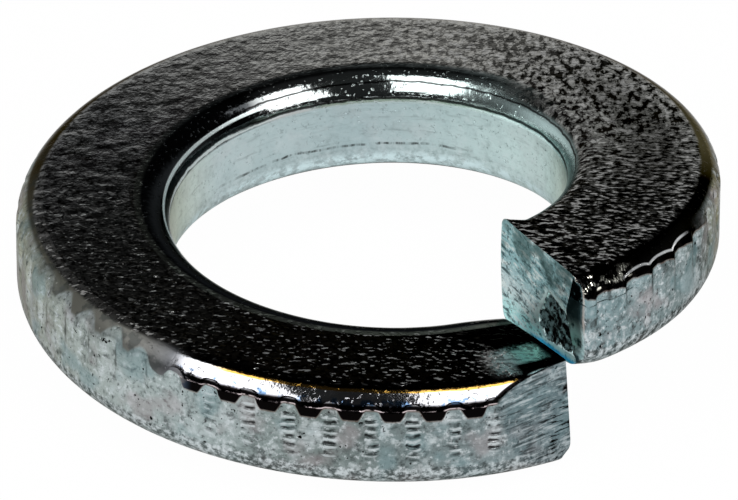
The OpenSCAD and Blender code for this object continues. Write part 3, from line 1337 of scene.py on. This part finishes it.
        # Painted black reflection next to the wall at the front.
        tone = tree.blend(level.step(0.38, 0.30) * front, tone, self.black)
        tone = tree.blend(level.step(0.62, 0.65) * azimuth.step(242.0, 247.0), tone, self.gold)
        # Painted black reflection next to the face at the front.
        return tree.blend(level.step(0.69, 0.74) * front, tone, self.black)

    def over_edge_ends(self, tree: WasherTree, tone: Signal, level: Signal) -> Signal:
        """Lay what lies at the edge's two ends over its tone.

        The low end has a painted black reflection, with a painted white highlight line beside the
        cutter's flat, whose outline is painted black shade. The raised end has painted white glints.

        Args:
            tree: The washer's tree.
            tone: The edge's colour so far.
            level: The edge's rise from the wall to the face, wavering.

        Returns:
            The colour.
        """
        azimuth = tree.azimuth
        # Painted black reflection at the low end, painted shade along the flat's outline, and a
        # painted white highlight line.
        end = azimuth.step(297.5, 299.5)
        tone = tree.blend(end, tone, self.black)
        gap = tree.layer("flat_gap")
        outline = (gap + 0.02).near_zero(0.07, 0.04) * azimuth.step(288.0, 291.0)
        tone = tree.blend(outline, tone, self.black)
        tone = tree.blend((gap + 0.05).near_zero(0.035, 0.015) * end, tone, self.white)
        # Painted glints: near-white spots at the raised end, lit through the bumps.
        glint = tree.noise(tree.spot, 4.0, 3.0, 0.6).step(0.52, 0.54) * azimuth.step(-41.0, -45.0)
        return tree.blend(glint * level.between((0.28, 0.34), (0.66, 0.72)), tone, self.glint)

    @staticmethod
    def bore_edge_waver(tree: WasherTree) -> Signal:
        """How far the lines along the bore's top edge stray."""
        return (tree.noise(tree.spot, 2.2, 3.0, 0.6) - 0.5) * 0.10

    def bore_lines(self, tree: WasherTree) -> Signal:
        """Two painted pale highlight lines along the bore's top edge on the left."""
        rise = tree.layer("inner_rise")
        upper = (rise - 0.42).near_zero(0.060, 0.025)
        lower = (rise - 0.10 + self.bore_edge_waver(tree)).near_zero(0.06, 0.02)
        return (upper + lower * 0.7).held() * tree.azimuth.between((112.0, 126.0), (216.0, 236.0))

    def bore_edge_colour(self, tree: WasherTree) -> Signal:
        """The bore's top edge.

        It has painted highlight lines on the left, painted shade in dark ridge and foot lines and in a
        dark upper border at the back, and a ring of painted shade on the right.

        Args:
            tree: The washer's tree.

        Returns:
            The colour.
        """
        azimuth, rise = tree.azimuth, tree.layer("inner_rise")
        waver = self.bore_edge_waver(tree)
        tone = tree.tinted(azimuth, self.inner_edge_reflection_tints)
        # Painted highlight lines on the left of the bore's edge.
        tone = tree.blend(self.bore_lines(tree) * 0.9, tone, self.pale_line)
        # Painted shade: dark ridge and foot lines, a dark ring on the right and a dark upper border at
        # the back.
        ridge = (rise + waver - 0.52).near_zero(0.035, 0.012)
        foot = (rise + waver - 0.14).near_zero(0.05, 0.02)
        back = azimuth.between((-20.0, 5.0), (125.0, 135.0))
        tone = tree.blend((ridge + foot).held() * back * 0.9, tone, self.black)
        ring = rise.step(0.38, 0.62) * azimuth.between((-50.0, -20.0), (35.0, 60.0))
        tone = tree.blend(ring * 0.85, tone, self.bore_ring)
        shade = (rise + waver).step(0.80, 0.92) * back * azimuth.step(20.0, 50.0)
        return tree.blend(shade * 0.8, tone, self.black)

    def over_bevel(self, tree: WasherTree, base: Signal) -> Signal:
        """Lay the raised end's bevel over the base: dark, paler at its foot, with a thin rim."""
        cover, height = tree.layer("bevel"), tree.height
        shade = tree.noise(tree.spot, 2.6, 3.0, 0.6).step(0.36, 0.50) * height.step(1.6, 1.1)
        bevel = tree.blend(shade, self.bevel, self.bevel_pale)
        base = tree.blend(cover.step(0.35, 0.75), base, bevel)
        line = cover.between((0.30, 0.42), (0.50, 0.62)) * height.step(1.0, 1.4)
        return tree.blend(line * 0.6, base, self.bevel_line)

    def cut_colour(self, tree: WasherTree) -> Signal:
        """The cut faces: teal-grey with slanting streaks, the torn patch and a blue foot.

        The tones go by the height, tilted across the face by a share of the distance from the
        bore, and by the height above the tilted underside.

        Args:
            tree: The washer's tree.

        Returns:
            The colour.
        """
        radius, height = tree.radius, tree.height
        across = radius - WireSection.bore_radius
        spot = tree.vector(radius, height)
        streaks = tree.noise(tree.vector(radius * 0.9, radius * 0.3 + height * 3.0), 1.6, 4.0, 0.7)
        jag = tree.noise(spot, 4.0, 4.0, 0.65) - 0.5
        tilt = (ShearMarks.tilt_rise + ShearMarks.tilt_drop) / WireSection.width
        above_foot = height + ShearMarks.tilt_drop - across * tilt
        tone = tree.blend((height + across * 0.20).step(1.9, 0.9) * 0.7, self.cut, self.cut_pale)
        tone = tree.blend((above_foot + jag * 0.4).step(1.1, 0.3) * 0.9, tone, self.cut_teal)
        tone = tree.blend(streaks.step(0.52, 0.60) * 0.9, tone, self.pale_line)
        tone = tree.blend(streaks.step(0.47, 0.38) * 0.85, tone, self.cut_deep)
        grain = tree.noise(tree.spot, 6.0, 4.0, 0.8)
        tone = tree.blend(grain.step(0.47, 0.38) * 0.85, tone, self.cut_deep)
        tone = tree.blend(grain.step(0.56, 0.66) * 0.6, tone, self.cut_fleck)
        cloud = tree.noise(spot, 1.4, 3.0, 0.6).step(0.42, 0.58)
        upper = (height + across * 0.30).step(1.7, 2.3) * cloud
        tone = tree.blend(upper * 0.70, tone, self.cut_shade)
        tone = self.over_torn_patch(tree, tone, jag)
        outside = radius.step(6.2, 7.0)
        blue = (above_foot + jag * 0.15).step(0.26, 0.14) * outside
        tone = tree.blend(blue * 0.9, tone, self.cut_blue)
        edge = (above_foot - 0.05).near_zero(0.06, 0.02) * outside
        return tree.blend(edge * 0.8, tone, self.bevel_pale)

    def over_torn_patch(self, tree: WasherTree, tone: Signal, jag: Signal) -> Signal:
        """Lay the torn patch over the cut face: blotched and dark, with a jagged pale rim."""
        torn = tree.layer("torn") + jag * 1.1
        blotch = tree.noise(tree.spot, 4.5, 4.0, 0.7)
        deep = tree.blend(blotch.step(0.44, 0.58), self.black, self.torn)
        deep = tree.blend(blotch.step(0.60, 0.68) * 0.7, deep, self.cut)
        tone = tree.blend(torn.step(0.50, 0.53), tone, deep)
        rim = torn.between((0.14, 0.34), (0.50, 0.56)) * tree.height.step(1.9, 1.6)
        return tree.blend(rim, tone, self.torn_rim)

    def roughness(self, tree: WasherTree) -> Signal:
        """Roughness: mirror-bright edges, silky faces, duller walls and cuts."""
        azimuth = tree.azimuth
        walls = (tree.layer("outer_wall") + tree.layer("bore_wall")) * 0.20
        left = azimuth.between((150.0, 190.0), (233.0, 240.0))
        edges = tree.layer("foot") * 0.28 + tree.layer("pressed") * 0.2
        edges = edges + tree.layer("outer_top") * left * 0.35
        ring = azimuth.between((-30.0, -15.0), (50.0, 75.0)) * 0.14
        edges = edges + tree.layer("inner_top") * (self.bore_lines(tree) * 0.35 + ring)
        faces = tree.layer("bearing") * 0.07
        cuts = tree.layer("cut_face") * 0.42 + tree.layer("torn").step(0.45, 0.60) * 0.12
        grain = (tree.noise(tree.spot, 3.0, 3.0, 0.6) - 0.5) * 0.06
        return (0.10 + walls + edges + faces + cuts + grain).held()

    def relief(self, tree: WasherTree) -> Signal:
        """Bump in millimetres: orange peel on the faces, drawn lines and pits elsewhere."""
        azimuth = tree.azimuth
        bearing = self.face_share(tree)
        plain = 1.0 - bearing
        front = azimuth.step(160.0, 215.0)
        peel = tree.noise(tree.spot, 3.0, 3.0, 0.6) * (0.040 - front * 0.030)
        bumps = tree.noise(tree.spot, 5.5, 1.0, 0.4).step(0.56, 0.70) * front * 0.012
        drawn = tree.noise(tree.vector(azimuth * 0.04, tree.height * 3.0), 2.0, 3.0, 0.6)
        pits = tree.noise(tree.spot, 9.0).step(0.64, 0.72)
        glint = tree.layer("outer_top") * azimuth.step(-40.0, -44.0)
        ripple = tree.noise(tree.spot, 2.4, 3.0, 0.6) * (1.0 + glint * 4.0)
        lines = (drawn * 0.008 - pits * 0.008 + ripple * 0.012) * plain
        torn = tree.noise(tree.spot, 5.0, 4.0, 0.7) * 0.08 * tree.layer("torn").step(0.45, 0.60)
        total = (peel + bumps) * bearing + lines + torn
        return tree.node("ShaderNodeBump", None, {"Strength": 1.0, "Distance": MM, "Height": total})


@dataclass(frozen=True)
class Studio:
    """A plain white floor, two softboxes overhead and the photo's camera, in metres."""

    image_width: int = 738
    image_height: int = 500
    focal_pixels: float = 9775.7
    elevation: float = 29.584
    roll: float = 0.256
    distance: float = 27.821 * (WireSection.bore_radius + WireSection.width) * MM
    near_clip: float = 0.01
    centre_x: float = 367.76
    centre_y: float = 231.56
    aim_height: float = 2.625 * MM
    floor_reach: float = 2.0
    floor_drop: float = 0.02 * MM
    floor_glow: float = 0.985
    box_height: float = 0.40
    box_corners: tuple[tuple[float, float], ...] = (
        (0.175, 0.05),
        (0.50, 0.25),
        (2.7, -2.4),
        (0.754, -2.4),
    )
    box_radiance: float = 3.6

    def camera(self) -> None:
        """Place the camera at the photo's viewing angle.

        The viewing line falls by the elevation and meets the bore's axis at the aim height. The
        lens is the focal length in pixels over the image's width, times the sensor's width, and
        the shift brings the aim to its place in the image.
        """
        lift, roll = math.radians(self.elevation), math.radians(self.roll)
        forward = Vector((0.0, math.cos(lift), -math.sin(lift)))
        right, up = Vector((1.0, 0.0, 0.0)), Vector((0.0, math.sin(lift), math.cos(lift)))
        level = math.cos(roll) * right + math.sin(roll) * up
        tall = -math.sin(roll) * right + math.cos(roll) * up
        data = bpy.data.cameras.new("view")
        data.sensor_fit = "HORIZONTAL"
        data.lens = self.focal_pixels / self.image_width * data.sensor_width
        data.shift_x = (self.image_width / 2 - self.centre_x) / self.image_width
        data.shift_y = (self.centre_y - self.image_height / 2) / self.image_width
        data.clip_start = self.near_clip
        camera = bpy.data.objects.new("view", data)
        bpy.context.scene.collection.objects.link(camera)
        place = Vector((0.0, 0.0, self.aim_height)) - forward * self.distance
        matrix = Matrix((level, tall, -forward)).transposed().to_4x4()
        matrix.translation = place
        camera.matrix_world = matrix
        bpy.context.scene.camera = camera

    @staticmethod
    def panel(
        name: str, corners: Sequence[tuple[float, float, float]]
    ) -> tuple[bpy.types.Object, FinishTree]:
        """Make a flat panel with a material of its own.

        Args:
            name: Name of the panel and of its material.
            corners: The four corners, in metres.

        Returns:
            The panel and its material's empty tree.
        """
        mesh = bpy.data.meshes.new(name)
        mesh.from_pydata(corners, [], [(0, 1, 2, 3)])
        panel = bpy.data.objects.new(name, mesh)
        bpy.context.scene.collection.objects.link(panel)
        return panel, FinishTree(new_material(mesh, name))

    def floor(self) -> None:
        """Lay a large floor just under the washer, which is white where it is seen."""
        reach, level = self.floor_reach, -self.floor_drop
        corners = [(x * reach, y * reach, level) for x, y in ((-1, -1), (1, -1), (1, 1), (-1, 1))]
        floor, tree = self.panel("floor", corners)
        paper = tree.node("ShaderNodeBsdfDiffuse", None, {"Color": (0.9, 0.9, 0.9, 1.0)})
        glow = tree.node("ShaderNodeEmission", None, {"Color": (1.0, 1.0, 1.0, 1.0)})
        seen = tree.node("ShaderNodeLightPath", output="Is Camera Ray")
        mirrored = tree.node("ShaderNodeLightPath", output="Is Glossy Ray")
        through = tree.node("ShaderNodeLightPath", output="Is Transmission Ray")
        share = (seen + mirrored + through).held() * self.floor_glow
        surface = tree.node("ShaderNodeMixShader", None, {0: share, 1: paper, 2: glow})
        tree.finish("ShaderNodeOutputMaterial", surface)

    def softbox(self, name: str, side: float) -> None:
        """Hang a softbox overhead that widens from behind the washer to the front's side.

        It is a glowing trapezoid that the camera doesn't see. Its corners are set in heights
        of the box above the floor.

        Args:
            name: The softbox's name.
            side: 1 for the right and -1 for the left.
        """
        height = self.box_height
        corners = [(side * x * height, y * height, height) for x, y in self.box_corners]
        box, tree = self.panel(name, corners)
        box.visible_camera = False
        inputs = {"Color": (1.0, 1.0, 1.0, 1.0), "Strength": self.box_radiance}
        tree.finish("ShaderNodeOutputMaterial", tree.node("ShaderNodeEmission", None, inputs))

    def room(self) -> None:
        """Give the room its own dim light, brighter towards the horizon behind."""
        world = bpy.data.worlds.new("room")
        bpy.context.scene.world = world
        world.use_nodes = True
        tree = FinishTree(world.node_tree)
        toward = tree.node("ShaderNodeTexCoord", output="Generated")
        rise = tree.node("ShaderNodeSeparateXYZ", None, {0: toward}, output="Z")
        back = tree.node("ShaderNodeSeparateXYZ", None, {0: toward}, output="Y")
        level = rise.step(0.62, 0.34) * back.step(-0.2, 0.5) * 0.5 + 0.02
        colour = (0.95, 0.98, 1.0, 1.0)
        light = tree.node("ShaderNodeBackground", None, {"Color": colour, "Strength": level})
        tree.finish("ShaderNodeOutputWorld", light)

    def set_up(self) -> None:
        """Set the camera, floor, lamps and room."""
        view = bpy.context.scene.view_settings
        view.view_transform = "Standard"
        self.camera()
        self.floor()
        self.softbox("softbox_right", 1.0)
        self.softbox("softbox_left", -1.0)
        self.room()


def main() -> None:
    """Set up the studio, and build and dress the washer."""
    logging.basicConfig(level=logging.INFO, format="%(name)s: %(message)s")
    Studio().set_up()
    washer = LockWasher()
    ring = washer.build()
    ZincPlate().dress(ring)
    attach(ring, "root")
    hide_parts(NODE)


if __name__ == "__main__":
    main()
